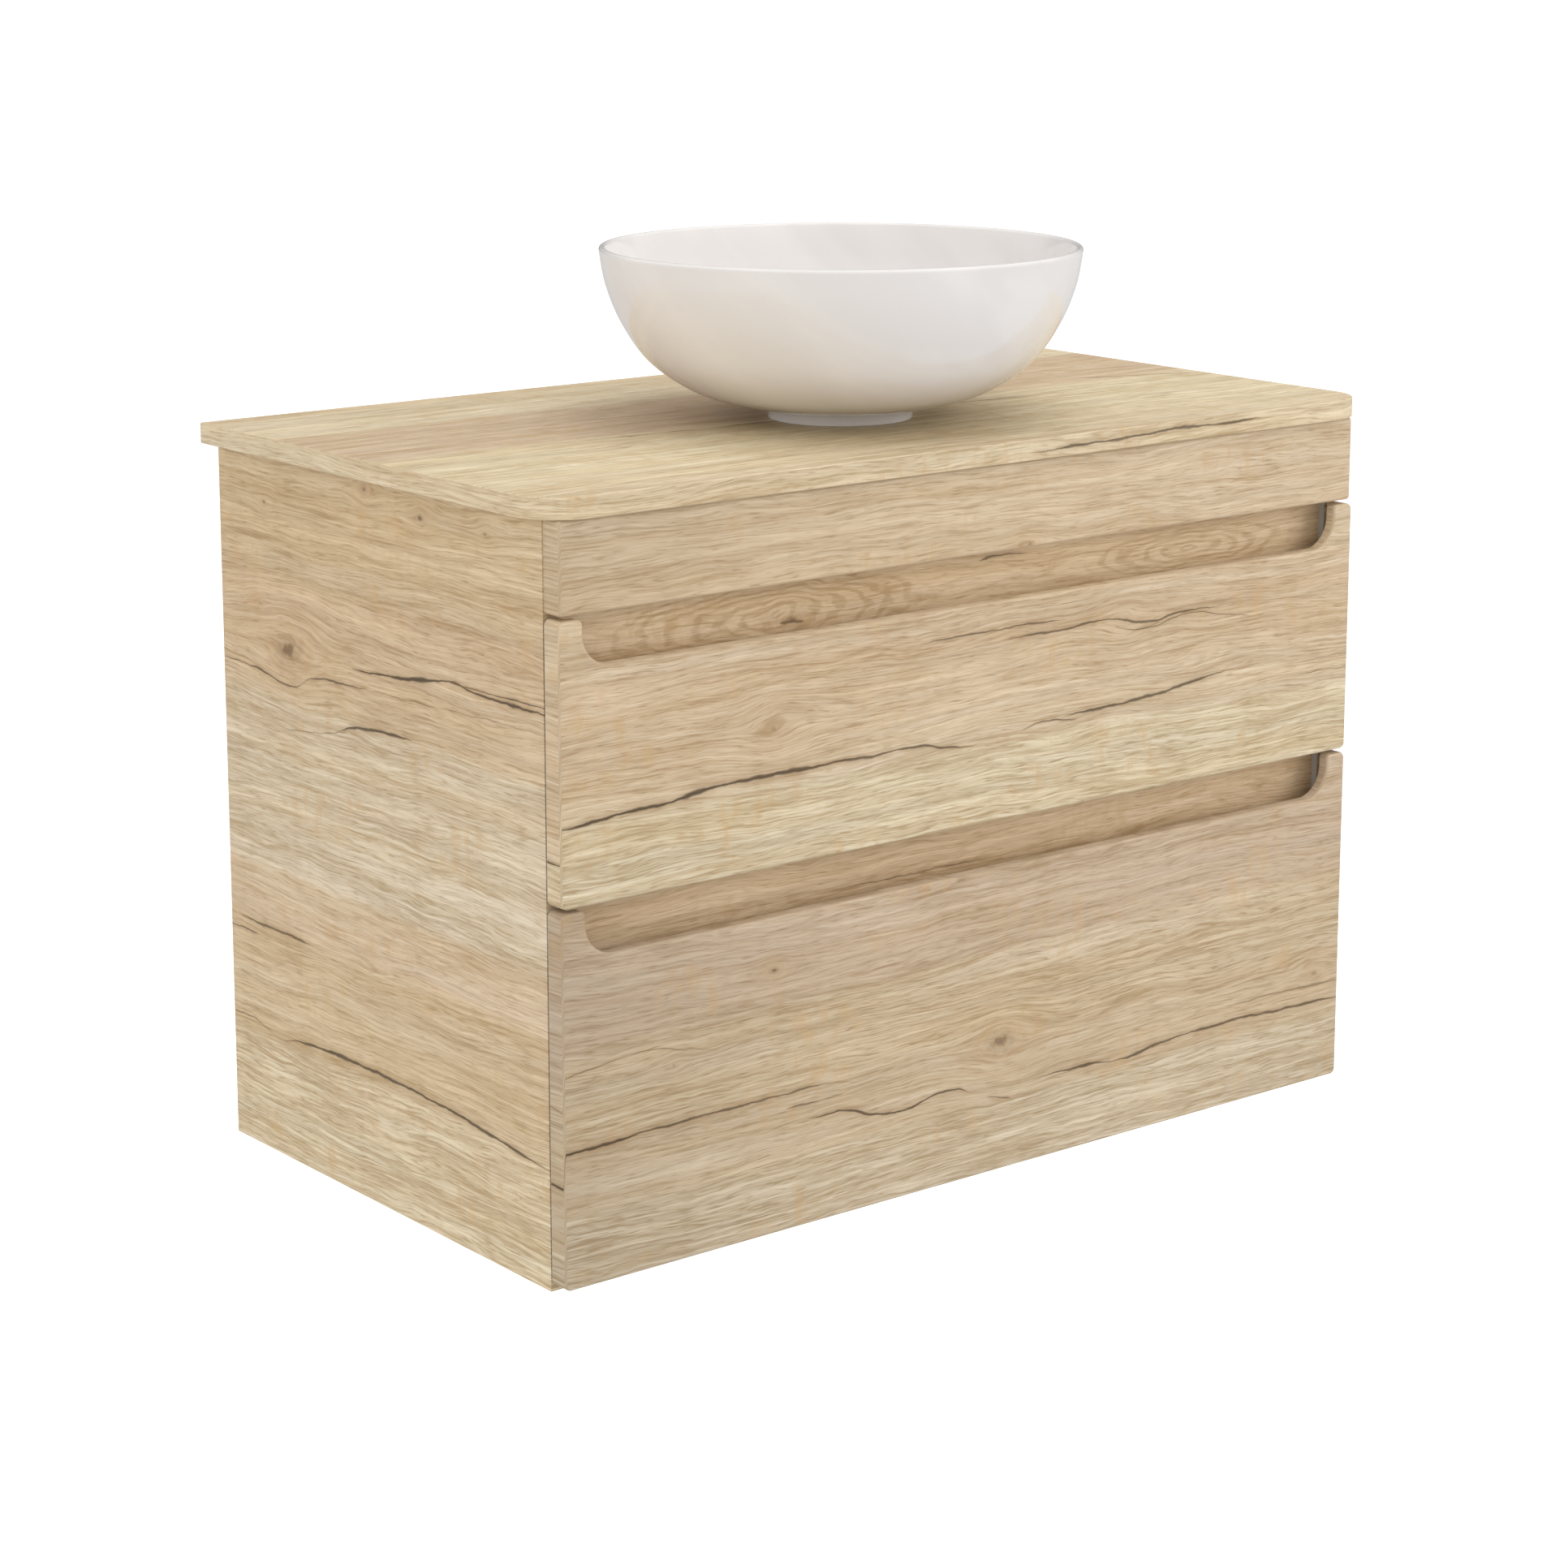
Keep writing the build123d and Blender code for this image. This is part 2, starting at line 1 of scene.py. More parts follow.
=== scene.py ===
import bmesh
import bpy
import math
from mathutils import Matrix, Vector


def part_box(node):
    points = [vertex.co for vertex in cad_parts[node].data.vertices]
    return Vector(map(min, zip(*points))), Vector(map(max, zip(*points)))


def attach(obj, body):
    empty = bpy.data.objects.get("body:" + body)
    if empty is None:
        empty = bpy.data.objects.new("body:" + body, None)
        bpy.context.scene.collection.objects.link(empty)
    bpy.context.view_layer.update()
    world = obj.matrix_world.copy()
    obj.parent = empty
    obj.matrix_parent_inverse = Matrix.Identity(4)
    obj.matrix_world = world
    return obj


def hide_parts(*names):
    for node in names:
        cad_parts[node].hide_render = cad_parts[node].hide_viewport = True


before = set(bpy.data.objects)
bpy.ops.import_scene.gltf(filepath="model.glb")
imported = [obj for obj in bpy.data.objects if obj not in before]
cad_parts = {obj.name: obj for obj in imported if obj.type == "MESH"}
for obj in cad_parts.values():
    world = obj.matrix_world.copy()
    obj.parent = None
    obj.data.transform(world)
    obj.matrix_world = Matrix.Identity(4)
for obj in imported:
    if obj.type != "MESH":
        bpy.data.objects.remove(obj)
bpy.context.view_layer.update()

# The frame is in metres: X across, Y back into the wall, Z up from the centre of the wall-screw holes.
# The numbers below and the wood patterns are in millimetres: s runs along the grain and t across it.
# Heights are from the unit's base, and distances toward the front are from the wall.
BASE = -505.0
INNER_HALF = 378.0
FRONT_BACK = 437.0
FRONT_FACE = 455.0
WORKTOP_TOP = 572.0
WORKTOP_FRONT = 460.0


# --- Shading tools ---

# How far noise is stretched about its middle, since it seldom comes near 0 or 1.
NOISE_SPREAD = 1.6


def linear(colour):
    """An sRGB colour in 0..255 as the linear colour that a node takes."""
    parts = [c / 255 for c in colour]
    return tuple(p / 12.92 if p <= 0.04045 else ((p + 0.055) / 1.055) ** 2.4 for p in parts) + (1.0,)


class Graph:
    """Adds nodes to one material or world; each call returns the new node's output socket."""

    def __init__(self, tree):
        self.tree = tree

    def node(self, kind, **settings):
        made = self.tree.nodes.new(kind)
        for name, value in settings.items():
            setattr(made, name, value)
        return made

    def feed(self, socket, value):
        if isinstance(value, bpy.types.NodeSocket):
            self.tree.links.new(value, socket)
        else:
            socket.default_value = value

    def math(self, operation, *values, clamp=False):
        made = self.node("ShaderNodeMath", operation=operation, use_clamp=clamp)
        for socket, value in zip(made.inputs, values):
            self.feed(socket, value)
        return made.outputs[0]

    def add(self, a, b):
        return self.math("ADD", a, b)

    def sub(self, a, b):
        return self.math("SUBTRACT", a, b)

    def mul(self, a, b):
        return self.math("MULTIPLY", a, b)

    def total(self, first, *rest):
        for value in rest:
            first = self.add(first, value)
        return first

    def fade(self, value, start, end, low=0.0, high=1.0):
        """Runs smoothly from low to high as value goes from start to end."""
        made = self.node("ShaderNodeMapRange", interpolation_type="SMOOTHSTEP")
        for socket, number in zip(made.inputs, (value, start, end, low, high)):
            self.feed(socket, number)
        return made.outputs[0]

    def span(self, value, start, end):
        """Runs evenly from 0 to 1 as value goes from start to end."""
        made = self.node("ShaderNodeMapRange")
        for socket, number in zip(made.inputs, (value, start, end)):
            self.feed(socket, number)
        return made.outputs[0]

    def blend(self, factor, a, b):
        """The number a where factor is 0 and b where it is 1."""
        return self.math("MULTIPLY_ADD", factor, self.sub(b, a), a)

    def vector(self, x, y, z=0.0):
        made = self.node("ShaderNodeCombineXYZ")
        for socket, value in zip(made.inputs, (x, y, z)):
            self.feed(socket, value)
        return made.outputs[0]

    def noise(self, s, t, length, width, seed=0.0, detail=2.0, roughness=0.5):
        """Noise whose marks are about length by width millimetres, in 0..1 around 0.5."""
        made = self.node("ShaderNodeTexNoise", noise_dimensions="2D")
        along = self.math("MULTIPLY_ADD", s, 1 / length, 7.31 * seed)
        across = self.math("MULTIPLY_ADD", t, 1 / width, 3.17 * seed)
        self.feed(made.inputs["Vector"], self.vector(along, across))
        made.inputs["Scale"].default_value = 1.0
        made.inputs["Detail"].default_value = detail
        made.inputs["Roughness"].default_value = roughness
        return made.outputs[0]

    def spread(self, noise, amount):
        """Stretches noise about zero, mostly within plus and minus amount."""
        return self.math("MULTIPLY_ADD", noise, 2 * NOISE_SPREAD * amount, -NOISE_SPREAD * amount)

    def sway(self, amount, *place, **kinds):
        """New noise about zero, mostly within plus and minus amount."""
        return self.spread(self.noise(*place, **kinds), amount)

    def mix(self, factor, a, b, blend="MIX"):
        made = self.node("ShaderNodeMix", data_type="RGBA", blend_type=blend)
        self.feed(made.inputs[0], factor)
        self.feed(made.inputs[6], a)
        self.feed(made.inputs[7], b)
        return made.outputs[2]

    def place(self):
        """The point on the object in millimetres, as x, y and z sockets."""
        made = self.node("ShaderNodeSeparateXYZ")
        self.feed(made.inputs[0], self.node("ShaderNodeTexCoord").outputs["Object"])
        return [self.mul(socket, 1000.0) for socket in made.outputs]

    def facing(self):
        """How far the surface faces along x, y and z, each 0..1."""
        made = self.node("ShaderNodeSeparateXYZ")
        self.feed(made.inputs[0], self.node("ShaderNodeTexCoord").outputs["Normal"])
        return [self.math("ABSOLUTE", socket) for socket in made.outputs]

    def ramp(self, value, stops):
        """A colour band: stops are (position 0..1, linear colour with its strength as alpha)."""
        made = self.node("ShaderNodeValToRGB")
        band = made.color_ramp
        for number, (position, colour) in enumerate(stops):
            stop = band.elements[number] if number < 2 else band.elements.new(position)
            stop.position = position
            stop.color = colour
        self.feed(made.inputs[0], value)
        return made.outputs[0], made.outputs[1]

    def curve(self, value, points):
        """A smooth line through (x, y) points, both 0..1."""
        made = self.node("ShaderNodeFloatCurve")
        line = made.mapping.curves[0]
        line.points[0].location = points[0]
        line.points[1].location = points[-1]
        for point in points[1:-1]:
            line.points.new(*point)
        for point in line.points:
            point.handle_type = "AUTO_CLAMPED"
        made.mapping.update()
        self.feed(made.inputs["Value"], value)
        return made.outputs[0]


def material(name):
    """A fresh material, its graph and its shader."""
    made = bpy.data.materials.new(name)
    made.use_nodes = True
    return made, Graph(made.node_tree), made.node_tree.nodes["Principled BSDF"]


def bump(g, shader, height, distance, strength):
    """Gives the shader a relief whose full height is distance millimetres."""
    made = g.node("ShaderNodeBump")
    made.inputs["Strength"].default_value = strength
    made.inputs["Distance"].default_value = distance / 1000
    g.feed(made.inputs["Height"], height)
    g.feed(shader.inputs["Normal"], made.outputs[0])


# --- Oak decor ---

CRACK_OPEN = 1.2
DARK_GRAIN = linear((212, 199, 181))
LIGHT_GRAIN = (1.17, 1.19, 1.23, 1.0)
GOLDEN_CAST = (1.025, 1.0, 0.945, 1.0)
GREY_CAST = (0.98, 0.995, 1.025, 1.0)
FLECK = linear((198, 163, 116))
CRACK_MARGIN = linear((160, 128, 90))
CRACK_SPLIT = linear((70, 56, 38))
KNOT_RIM = linear((182, 146, 102))
KNOT_CORE = linear((86, 62, 38))
BACKING = linear((176, 172, 165))


def board_across(g):
    """Grain along X, heights up the front: the finger rails."""
    x, _, z = g.place()
    return x, g.sub(z, BASE)


def board_wrapped(g):
    """Grain along X, heights up the front: the drawer fronts and the fascia. The foil is drawn down
    round their edges, so its lines drop there."""
    x, y, z = g.place()
    behind = g.add(y, FRONT_FACE)
    drop = g.fade(behind, 0.4, 2.8, 0.0, 26.0)
    return g.add(x, g.mul(behind, 0.6)), g.add(g.sub(z, BASE), drop)


def board_deep(g):
    """Grain along Y from the wall, heights up the side: the side panels."""
    _, y, z = g.place()
    return g.mul(y, -1.0), g.sub(z, BASE)


def board_flat(g):
    """Grain along X, distance from the wall across it: the worktop. It is carried down over the front
    edge and runs on round the corners along the side edges."""
    x, y, z = g.place()
    _, _, upward = g.facing()
    drop = g.sub(WORKTOP_TOP + BASE, z)
    back = g.mul(y, -1.0)
    edge = g.fade(upward, 0.75, 0.45)
    s = g.add(x, g.mul(edge, g.sub(back, WORKTOP_FRONT)))
    return s, g.blend(edge, back, g.add(drop, WORKTOP_FRONT))


def crack_line(g, s, t, wobble, points, width):
    """One crack that follows points and thins out at its ends: its dark split and its soft margin, 0..1."""
    start, end, slack = points[0][0], points[-1][0], 4
    low = min(p[1] for p in points) - slack
    high = max(p[1] for p in points) + slack
    shape = [((a - start) / (end - start), (b - low) / (high - low)) for a, b in points]
    u = g.span(s, start, end)
    centre = g.math("MULTIPLY_ADD", g.curve(u, shape), high - low, low)
    away = g.math("ABSOLUTE", g.sub(t, centre))
    ends = g.math("MINIMUM", g.mul(g.mul(u, g.sub(1.0, u)), 7.0), 1.0)
    reach = g.mul(g.mul(ends, wobble), width)
    edge = g.math("MULTIPLY_ADD", reach, 0.55, 0.2)
    split = g.math("DIVIDE", g.sub(reach, away), edge, clamp=True)
    margin = g.math("DIVIDE", away, g.math("MULTIPLY_ADD", reach, 4.0, 0.3))
    return split, g.math("MAXIMUM", g.sub(1.0, margin), 0.0)


def around_knots(g, s, t, flow, knots):
    """Parts the grain around each knot; also returns the knots' warm rims and dark cores, 0..1."""
    rims = cores = 0.0
    stretch = 1.7
    for at_s, at_t, swirl, core, darkness in knots:
        ds = g.mul(g.sub(s, at_s), 1 / (stretch * swirl))
        dt = g.sub(t, at_t)
        square = g.add(g.mul(ds, ds), g.mul(g.mul(dt, dt), 1 / swirl ** 2))
        pull = g.math("EXPONENT", g.mul(square, -1.0))
        flow = g.sub(flow, g.mul(g.mul(dt, pull), 0.84))
        away = g.add(g.math("SQRT", square), g.sway(0.10, s, t, 7, 7, at_s))
        waves = g.fade(g.math("SINE", g.mul(away, 5.0 * swirl / core)), 0.0, 1.0, 0.55, 1.0)
        shell = g.fade(away, 1.4 * core / swirl, 0.6 * core / swirl, 0.0, 0.25)
        heart = g.add(shell, g.fade(away, 0.55 * core / swirl, 0.1 * core / swirl, 0.0, 0.62))
        cores = g.math("MAXIMUM", cores, g.mul(heart, darkness))
        rims = g.math("MAXIMUM", rims, g.mul(g.mul(pull, waves), darkness))
    return flow, rims, cores


def eyes_of_grain(g, s, flow, eyes):
    """Nested cathedral rings around each long eye (s, t, half length, half height, rings)."""
    bands = 0.0
    for at_s, at_t, length, height, count in eyes:
        ds = g.mul(g.sub(s, at_s), 1 / length)
        dt = g.mul(g.sub(flow, at_t), 1 / height)
        away = g.math("SQRT", g.add(g.mul(ds, ds), g.mul(dt, dt)))
        away = g.add(away, g.sway(0.07, s, flow, 30, 12, count))
        ring = g.math("SINE", g.mul(away, math.tau * count))
        band = g.mul(g.fade(ring, -0.3, 1.0), g.fade(away, 1.15, 0.75))
        bands = g.math("MAXIMUM", bands, band)
    return bands


def figure(g, s, flow, rippled, eyes, seed):
    """The wood's figure along the parted grain: its lightness, its relief and its fibres, about zero."""
    swing = g.noise(s, flow, 260, 22, seed + 2, detail=1.0)
    rings = g.fade(g.math("SINE", g.mul(swing, 62.0)), 0.1, 1.0)
    ring_mask = g.fade(g.noise(s, flow, 300, 45, seed + 3), 0.36, 0.60)
    broad = g.sway(1.0, s, flow, 420, 15, seed + 4)
    streak = g.sway(1.0, s, flow, 150, 4.5, seed + 5)
    fibre = g.sway(1.0, s, flow, 44, 1.6, seed + 6, detail=3.0, roughness=0.6)
    pores = g.fade(g.noise(s, flow, 17, 0.9, seed + 7, detail=1.0), 0.60, 0.74)
    threads = g.fade(g.noise(s, flow, 60, 1.9, seed + 15, detail=1.0), 0.56, 0.66)
    ripple = g.noise(s, flow, 84, 2.9, seed + 8)
    ridge = g.mul(g.spread(ripple, 1.0), rippled)
    trough = g.mul(g.fade(g.math("ABSOLUTE", g.sub(ripple, 0.5)), 0.05, 0.0), rippled)
    light = g.total(
        g.mul(broad, 0.20), g.mul(streak, 0.19), g.mul(fibre, 0.23), g.mul(g.mul(rings, ring_mask), -0.18),
        g.mul(ridge, 0.30), g.mul(trough, -0.46), g.mul(pores, -0.34), g.mul(threads, -0.22),
        g.mul(eyes_of_grain(g, s, flow, eyes), -0.30),
    )
    return light, g.total(g.mul(fibre, 0.35), g.mul(pores, -0.6), g.mul(ridge, 0.8)), fibre


def stained(g, s, flow, ground, light, tint, seed):
    """The ground colour with the figure's light and dark laid over it, drifting from golden to grey."""
    lift = g.math("ADD", light, 0.60, clamp=True)
    tone = g.mix(lift, DARK_GRAIN, LIGHT_GRAIN)
    colour = g.mix(1.0, g.mix(1.0, ground, (*tint, 1.0), "MULTIPLY"), tone, "MULTIPLY")
    hue = g.math("MULTIPLY_ADD", g.sway(1.0, s, flow, 500, 18, seed + 9), 0.5, 0.5, clamp=True)
    cast = g.mix(hue, GOLDEN_CAST, GREY_CAST)
    return g.mix(1.0, colour, cast, "MULTIPLY")


def flecked(g, s, t, colour, seed):
    """Adds tan flecks that lie across the grain, in patches."""
    patches = g.fade(g.noise(s, t, 120, 45, seed + 10), 0.50, 0.70)
    flecks = g.fade(g.noise(s, t, 13, 30, seed + 11, detail=4.0, roughness=0.6), 0.46, 0.70)
    return g.mix(g.mul(g.mul(patches, flecks), 0.42), colour, FLECK)


def cracked(g, s, t, colour, relief, cracks, seed):
    """Adds the cracks to the colour and cuts them into the relief."""
    ragged = g.total(t, g.sway(0.45, s, t, 9, 9, seed + 12), g.sway(1.1, s, t, 42, 30, seed + 14))
    wobble = g.math("ADD", g.sway(0.5, s, t, 38, 60, seed + 13), 0.62, clamp=True)
    for width, darkness, points in cracks:
        split, margin = crack_line(g, s, ragged, wobble, points, CRACK_OPEN * width)
        colour = g.mix(g.mul(margin, 0.45 * darkness), colour, CRACK_MARGIN)
        colour = g.mix(g.mul(split, darkness), colour, CRACK_SPLIT)
        relief = g.sub(relief, g.mul(split, 3.0 * darkness))
    return colour, relief


def oak(name, board, zones, tint, seed, knots=(), cracks=(), eyes=(), backing=None, shaded_end=None):
    """Cracked rustic oak. zones: (t, sRGB colour, ripple). knots: (s, t, swirl, core, darkness).
    cracks: (width, darkness, points). eyes: see eyes_of_grain. tint: a factor on the whole board's
    colour. seed: which noise the board takes. backing marks the faces that aren't decor. The last
    argument is painted shade towards one end: where along the grain it is darkest, where it has faded out,
    and the factor at its darkest."""
    made, g, shader = material(name)
    s, t = board(g)
    drift = g.sway(7.0, s, t, 360, 85, seed)
    flow = g.total(t, drift, g.sway(2.0, s, t, 72, 26, seed + 1))
    flow, rims, cores = around_knots(g, s, t, flow, knots)

    first, last = zones[0][0], zones[-1][0]
    stops = [((z - first) / (last - first), linear(c)[:3] + (ripple,)) for z, c, ripple in zones]
    ground, rippled = g.ramp(g.span(g.add(t, g.mul(drift, 0.35)), first, last), stops)
    light, relief, fibre = figure(g, s, flow, rippled, eyes, seed)
    colour = flecked(g, s, t, stained(g, s, flow, ground, light, tint, seed), seed)
    # Painted shade: the colour is darkened towards one end of the board, where the light falls off across it.
    if shaded_end:
        start, end, low = shaded_end
        colour = g.mix(g.fade(s, start, end, 1.0, 0.0), colour, (low, low, low, 1.0), "MULTIPLY")
    colour = g.mix(g.mul(rims, 0.62), colour, KNOT_RIM)
    colour = g.mix(cores, colour, KNOT_CORE)
    colour, relief = cracked(g, s, t, colour, relief, cracks, seed)
    if backing:
        colour = g.mix(backing(g), colour, BACKING)

    g.feed(shader.inputs["Base Color"], colour)
    g.feed(shader.inputs["Roughness"], g.math("MULTIPLY_ADD", fibre, 0.05, 0.56))
    shader.inputs["Specular IOR Level"].default_value = 0.28
    bump(g, shader, relief, 0.10, 0.6)
    return made


def behind_side(g):
    """The side panels' inner faces, which aren't decor."""
    x, _, _ = g.place()
    return g.fade(g.math("ABSOLUTE", x), INNER_HALF + 0.6, INNER_HALF + 0.3)


def behind_front(g):
    """The drawer fronts' flat backs, which aren't decor."""
    _, y, _ = g.place()
    return g.fade(y, -FRONT_BACK - 0.3, -FRONT_BACK - 0.1)


# --- Where each board's zones, knots and cracks lie ---

SIDE_ZONES = [
    (0, (206, 188, 157), 1.0), (88, (204, 185, 154), 1.0), (97, (200, 178, 145), 0.5),
    (183, (200, 177, 145), 0.4), (190, (202, 178, 149), 0.3), (226, (203, 181, 152), 0.4),
    (240, (204, 187, 161), 0.7), (366, (203, 184, 156), 0.7), (375, (198, 175, 144), 0.4),
    (455, (199, 174, 143), 0.4), (465, (197, 173, 140), 0.5), (556, (199, 176, 142), 0.5),
]
SIDE_KNOTS = [
    (97, 408, 30, 12, 0.8), (210, 546, 11, 3.4, 0.7), (284, 535, 10, 3.6, 0.8),
    (367, 535, 9, 2.6, 0.55), (67, 518, 9, 2.4, 0.6), (57, 438, 8, 2, 0.6),
]
SIDE_CRACKS = [
    (1.3, 0.75, [(-12, 388), (50, 387), (97, 380), (130, 391), (215, 398)]),
    (0.8, 0.45, [(190, 396), (300, 400), (450, 405)]),
    (2.6, 0.9, [(185, 409), (250, 413), (300, 419), (322, 422), (350, 419), (450, 418)]),
    (1.2, 0.8, [(315, 421), (370, 422), (450, 423)]),
    (1.0, 0.5, [(90, 345), (165, 356), (190, 364)]),
    (2.1, 0.85, [(160, 355), (190, 364), (230, 368), (268, 369)]),
    (1.2, 0.8, [(-12, 172), (20, 172), (42, 173)]),
    (1.7, 0.75, [(12, 182), (70, 182), (127, 181)]),
    (1.0, 0.6, [(-12, 102), (30, 101), (60, 96)]),
    (2.3, 0.85, [(68, 93), (120, 101), (200, 103), (300, 101), (370, 95), (450, 89)]),
]
LOWER_ZONES = [
    (5, (201, 183, 155), 1.0), (58, (200, 182, 154), 1.0), (64, (200, 179, 149), 0.3),
    (112, (198, 176, 145), 0.3), (119, (201, 180, 148), 0.8), (178, (199, 178, 148), 0.7),
    (183, (193, 171, 144), 0.35), (215, (195, 173, 147), 0.35), (280, (194, 172, 145), 0.35),
]
LOWER_KNOTS = [
    (17, 108, 24, 9, 0.75), (-204, 206, 9, 3, 0.8), (362, 97, 12, 3, 0.4), (-295, 153, 10, 2, 0.35),
]
LOWER_CRACKS = [
    (1.5, 0.75, [(-410, 106), (-360, 107), (-315, 110), (-200, 110), (-175, 111), (-125, 105)]),
    (2.4, 0.85, [(-410, 106), (-380, 107), (-325, 109)]),
    (1.1, 0.7, [(-195, 98), (-165, 99), (-138, 99)]),
    (1.8, 0.85, [(-175, 87), (-140, 86), (-110, 77), (-80, 74), (-40, 80), (-12, 73)]),
    (0.9, 0.6, [(2, 66), (15, 63), (28, 61)]),
    (1.9, 0.8, [(45, 72), (110, 70), (145, 68), (185, 73), (240, 75), (310, 74), (410, 71)]),
    (1.3, 0.5, [(262, 88), (320, 88), (410, 86)]),
    (0.8, 0.6, [(-410, 159), (-360, 166), (-320, 169), (-290, 164), (-255, 156)]),
]
UPPER_ZONES = [
    (283, (203, 185, 154), 1.0), (338, (202, 184, 153), 0.9), (347, (202, 180, 150), 0.3),
    (364, (201, 179, 148), 0.3), (371, (199, 176, 146), 0.5), (414, (196, 172, 141), 0.5),
    (435, (195, 170, 139), 0.5), (445, (198, 175, 145), 0.5), (486, (199, 177, 146), 0.4),
]
UPPER_CRACKS = [
    (2.6, 0.9, [(-410, 339), (-360, 342), (-325, 345), (-290, 347), (-260, 351), (-215, 352), (-130, 352)]),
    (1.9, 0.8, [(-160, 353), (-110, 352), (-70, 352), (-45, 348), (-12, 343)]),
    (2.2, 0.8, [(75, 355), (135, 356), (175, 358), (205, 362), (255, 367)]),
    (0.8, 0.5, [(330, 362), (360, 363), (410, 363)]),
    (1.1, 0.7, [(32, 350), (60, 353), (92, 350)]),
    (1.2, 0.7, [(-70, 429), (-15, 430), (40, 431), (80, 430)]),
    (1.6, 0.75, [(12, 422), (60, 422), (110, 424), (140, 421), (170, 417), (195, 420), (246, 420)]),
    (0.9, 0.6, [(128, 416), (160, 412), (210, 418), (245, 413), (280, 407)]),
    (0.9, 0.6, [(335, 352), (370, 352), (410, 353)]),
]
UPPER_KNOTS = [(140, 421, 16, 1, 0.3), (-205, 385, 20, 1, 0.25)]
RAIL_ZONES = [(224, (199, 173, 140), 0.4), (262, (203, 178, 145), 0.4), (294, (197, 171, 138), 0.4)]
RAIL_KNOTS = [(-365, 277, 9, 2.5, 0.7), (-155, 278, 9, 2.5, 0.7)]
RAIL_CRACKS = [(0.9, 0.6, [(-135, 247), (-50, 247), (35, 247)])]
UPPER_RAIL_ZONES = [
    (430, (202, 174, 138), 0.25), (465, (208, 181, 146), 0.25), (500, (203, 176, 141), 0.25),
]
UPPER_RAIL_KNOTS = [(-168, 457, 15, 3, 0.6)]
UPPER_RAIL_EYES = [(-190, 462, 150, 30, 7), (232, 468, 110, 22, 5)]
UPPER_RAIL_CRACKS = [
    (1.2, 0.7, [(10, 479), (35, 481), (62, 480)]),
    (1.5, 0.6, [(-180, 455), (-168, 455), (-156, 454)]),
]
FASCIA_ZONES = [(489, (208, 184, 151), 0.2), (520, (209, 186, 154), 0.3), (556, (211, 189, 158), 0.3)]
FASCIA_KNOTS = [(42, 503, 9, 2.2, 0.6)]
TOP_ZONES = [
    (0, (206, 183, 147), 0.3), (20, (212, 193, 160), 0.4), (108, (217, 200, 168), 0.5),
    (120, (203, 179, 148), 0.3), (240, (204, 180, 149), 0.3), (262, (213, 195, 160), 0.5),
    (360, (216, 199, 165), 0.6), (440, (209, 190, 157), 0.6), (480, (210, 190, 158), 0.5),
]
TOP_KNOTS = [(-240, 285, 26, 1, 0.25)]
TOP_CRACKS = [
    (1.6, 0.7, [(-265, 255), (-160, 262), (-50, 268), (20, 273), (95, 278), (240, 289)]),
    (1.6, 0.6, [(285, 231), (345, 250), (395, 268)]),
    (2.0, 0.75, [(30, 470), (120, 468), (200, 466), (290, 466)]),
]
RIGHT_ZONES = [
    (0, (206, 188, 157), 1.0), (120, (203, 183, 152), 0.6), (128, (200, 177, 146), 0.4),
    (300, (202, 179, 149), 0.4), (310, (205, 188, 160), 0.8), (556, (203, 183, 152), 0.6),
]
RIGHT_KNOTS = [(305, 402, 24, 6, 0.75), (110, 228, 12, 3, 0.65), (352, 86, 9, 2.4, 0.6)]
RIGHT_CRACKS = [
    (2.2, 0.85, [(-12, 312), (60, 309), (140, 303), (210, 306), (262, 301)]),
    (1.0, 0.6, [(190, 318), (280, 321), (370, 317), (450, 320)]),
    (1.6, 0.8, [(210, 132), (290, 127), (360, 129), (450, 122)]),
    (1.1, 0.7, [(40, 466), (110, 470), (165, 468)]),
]

BOARDS = {
    "oak_side_left": dict(
        board=board_deep, zones=SIDE_ZONES, knots=SIDE_KNOTS, cracks=SIDE_CRACKS, seed=1.0,
        backing=behind_side, tint=(1.09, 1.13, 1.16),
    ),
    "oak_side_right": dict(
        board=board_deep, zones=RIGHT_ZONES, knots=RIGHT_KNOTS, cracks=RIGHT_CRACKS, seed=2.0,
        backing=behind_side, tint=(1.09, 1.13, 1.16),
    ),
    # The lower front and the fascia have painted shade towards their left ends.
    "oak_lower_front": dict(
        board=board_wrapped, zones=LOWER_ZONES, knots=LOWER_KNOTS, cracks=LOWER_CRACKS, seed=3.0,
        backing=behind_front, tint=(1.03, 1.07, 1.12), shaded_end=(-400, -60, 0.87),
    ),
    "oak_upper_front": dict(
        board=board_wrapped, zones=UPPER_ZONES, knots=UPPER_KNOTS, cracks=UPPER_CRACKS, seed=4.0,
        backing=behind_front, tint=(1.11, 1.17, 1.24),
    ),
    # The finger rails' tints are set above the rest partly to paint light into their recess, lifting the
    # shade that falls there.
    "oak_lower_rail": dict(
        board=board_across, zones=RAIL_ZONES, knots=RAIL_KNOTS, cracks=RAIL_CRACKS, seed=5.0,
        tint=(1.18, 1.22, 1.26),
    ),
    "oak_upper_rail": dict(
        board=board_across, zones=UPPER_RAIL_ZONES, knots=UPPER_RAIL_KNOTS, cracks=UPPER_RAIL_CRACKS,
        seed=6.0, eyes=UPPER_RAIL_EYES, tint=(1.20, 1.28, 1.36),
    ),
    "oak_fascia": dict(
        board=board_wrapped, zones=FASCIA_ZONES, knots=FASCIA_KNOTS, seed=7.0, tint=(1.02, 1.06, 1.12),
        shaded_end=(-400, 150, 0.90),
    ),
    "oak_worktop": dict(
        board=board_flat, zones=TOP_ZONES, knots=TOP_KNOTS, cracks=TOP_CRACKS, seed=8.0,
        tint=(1.05, 1.10, 1.16),
    ),
}


# --- Plain finishes ---


